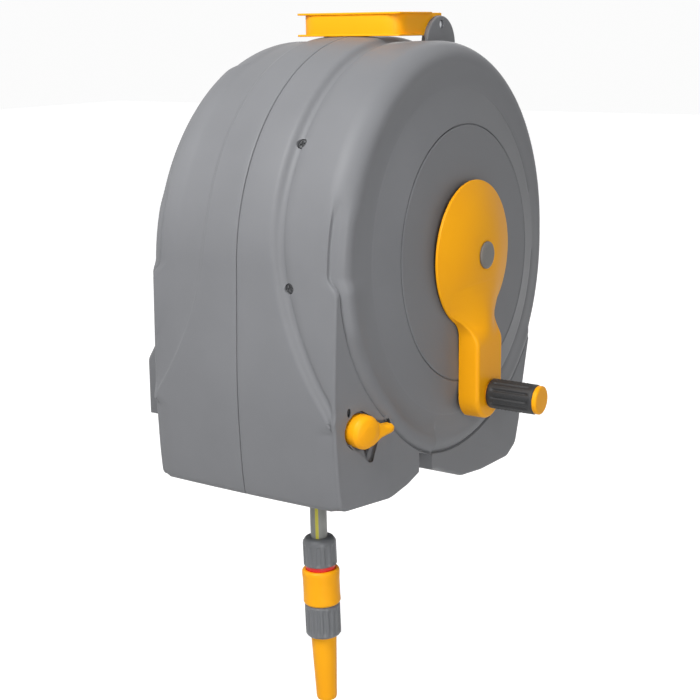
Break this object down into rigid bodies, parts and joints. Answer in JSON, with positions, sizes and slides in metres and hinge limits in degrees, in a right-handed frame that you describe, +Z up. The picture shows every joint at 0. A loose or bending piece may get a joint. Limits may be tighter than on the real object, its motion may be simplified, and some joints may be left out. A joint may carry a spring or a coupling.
{
  "type": "wall mounted hose reel",
  "caption": "Wall mounted garden hose reel: swivelling plastic housing with a cranked drum, level wind guide, carry handle, park knob and a hanging hose end with nozzle",
  "frame": {"origin": "centre of the wall plate's back face, at the height of the drum axis", "axes": "+X to the crank side, +Y into the wall, +Z up"},
  "size_m": [0.3743, 0.509, 0.6898],
  "materials": {
    "housing_grey": "fine satin texture, moulded",
    "yellow": "satin moulded",
    "dark_plastic": "satin",
    "black_grip": "matt, fluted",
    "grey_plastic": "satin",
    "hose_grey": "satin vinyl",
    "red": "satin",
    "steel": "plain",
    "bracket_steel": "powder coat",
    "nylon": "natural"
  },
  "bodies": {
    "wall_bracket": {"wall_plate": "bracket_steel", "swivel_pins": "steel"},
    "housing": {"right_shell": "housing_grey", "left_shell": "housing_grey", "rear_spine": "housing_grey", "shell_screws": "steel", "band_screws": "steel", "drive_cover": "housing_grey", "gear_plate": "dark_plastic", "inlet_plate": "dark_plastic", "plate_screws": "steel", "right_bearing": "nylon", "left_bearing": "nylon", "gear_pins": "steel", "guide_rod": "steel", "inlet_elbow": "dark_plastic", "feed_pipe": "dark_plastic", "inlet_connector": "dark_plastic", "handle_pins": "steel"},
    "drum": {"drum_barrel": "dark_plastic", "drum_flange_left": "dark_plastic", "drum_flange_right": "dark_plastic", "drum_spindle": "dark_plastic", "spindle_seals": "black_grip", "drum_stub": "dark_plastic", "drum_gear": "nylon", "traverse_drive_gear": "nylon", "hose_inner_layers": "hose_grey", "hose_outer_layer": "hose_grey"},
    "layshaft": {"layshaft_gears": "nylon"},
    "crank": {"crank_shaft": "steel", "crank_gear": "nylon", "crank_arm": "yellow", "crank_screw": "steel", "crank_hub_cap": "grey_plastic", "grip_axle": "steel", "grip_end_cap": "yellow"},
    "grip": {"grip_sleeve": "black_grip"},
    "idler": {"traverse_idler": "nylon"},
    "traverse": {"traverse_screw": "steel", "traverse_gear": "nylon"},
    "guide": {"guide_carriage": "dark_plastic", "roller_pins": "steel", "hose_lead": "hose_grey", "hose_end": "hose_grey", "hose_nut": "grey_plastic", "connector_ring": "red", "connector_core": "grey_plastic", "nozzle_base": "grey_plastic"},
    "roller_left": {"guide_roller_left": "nylon"},
    "roller_right": {"guide_roller_right": "nylon"},
    "sleeve": {"connector_sleeve": "yellow"},
    "nozzle": {"nozzle_barrel": "yellow"},
    "knob": {"park_knob": "yellow", "knob_shaft": "steel", "brake_shoe": "dark_plastic"},
    "handle": {"carry_handle": "yellow"}
  },
  "joints": [
    {"name": "swivel", "type": "hinge", "parent": "wall_bracket", "child": "housing", "pos_m": [0, -0.045, 0], "axis": [0, 0, 1], "range_deg": [-30, 30]},
    {"name": "drum_spin", "type": "hinge", "parent": "housing", "child": "drum", "pos_m": [0, -0.285, 0], "axis": [1, 0, 0], "continuous": true},
    {"name": "layshaft_spin", "type": "hinge", "parent": "housing", "child": "layshaft", "pos_m": [0.105, -0.33591, 0.05091], "axis": [1, 0, 0], "continuous": true},
    {"name": "crank_turn", "type": "hinge", "parent": "housing", "child": "crank", "pos_m": [0.13, -0.285, 0], "axis": [1, 0, 0], "continuous": true},
    {"name": "grip_spin", "type": "hinge", "parent": "crank", "child": "grip", "pos_m": [0.185, -0.285, -0.145], "axis": [1, 0, 0], "continuous": true},
    {"name": "idler_spin", "type": "hinge", "parent": "housing", "child": "idler", "pos_m": [-0.105, -0.33915, -0.11377], "axis": [1, 0, 0], "continuous": true},
    {"name": "traverse_spin", "type": "hinge", "parent": "housing", "child": "traverse", "pos_m": [0, -0.42157, -0.163], "axis": [1, 0, 0], "continuous": true},
    {"name": "guide_slide", "type": "slide", "parent": "housing", "child": "guide", "axis": [1, 0, 0], "range_m": [-0.121, 0.019]},
    {"name": "roller_left_spin", "type": "hinge", "parent": "guide", "child": "roller_left", "pos_m": [0.035, -0.44957, -0.19], "axis": [0, 1, 0], "continuous": true},
    {"name": "roller_right_spin", "type": "hinge", "parent": "guide", "child": "roller_right", "pos_m": [0.067, -0.44957, -0.19], "axis": [0, 1, 0], "continuous": true},
    {"name": "sleeve_slide", "type": "slide", "parent": "guide", "child": "sleeve", "axis": [-0.0349, 0, 0.9994], "range_m": [0, 0.004]},
    {"name": "nozzle_turn", "type": "hinge", "parent": "guide", "child": "nozzle", "pos_m": [0.05547, -0.44957, -0.37614], "axis": [-0.0349, 0, 0.9994], "range_deg": [0, 270]},
    {"name": "knob_turn", "type": "hinge", "parent": "housing", "child": "knob", "pos_m": [0.11831, -0.473, -0.144], "axis": [-0.9586, 0.2846, 0], "range_deg": [0, 45]},
    {"name": "handle_lift", "type": "hinge", "parent": "housing", "child": "handle", "pos_m": [0, -0.228, 0.23], "axis": [-1, 0, 0], "range_deg": [0, 80]}
  ],
  "couplings": [
    {"joint": "layshaft_spin", "follows": "drum_spin", "ratio": -1},
    {"joint": "crank_turn", "follows": "drum_spin", "ratio": 0.5},
    {"joint": "idler_spin", "follows": "drum_spin", "ratio": -0.75},
    {"joint": "traverse_spin", "follows": "drum_spin", "ratio": 2.25}
  ]
}
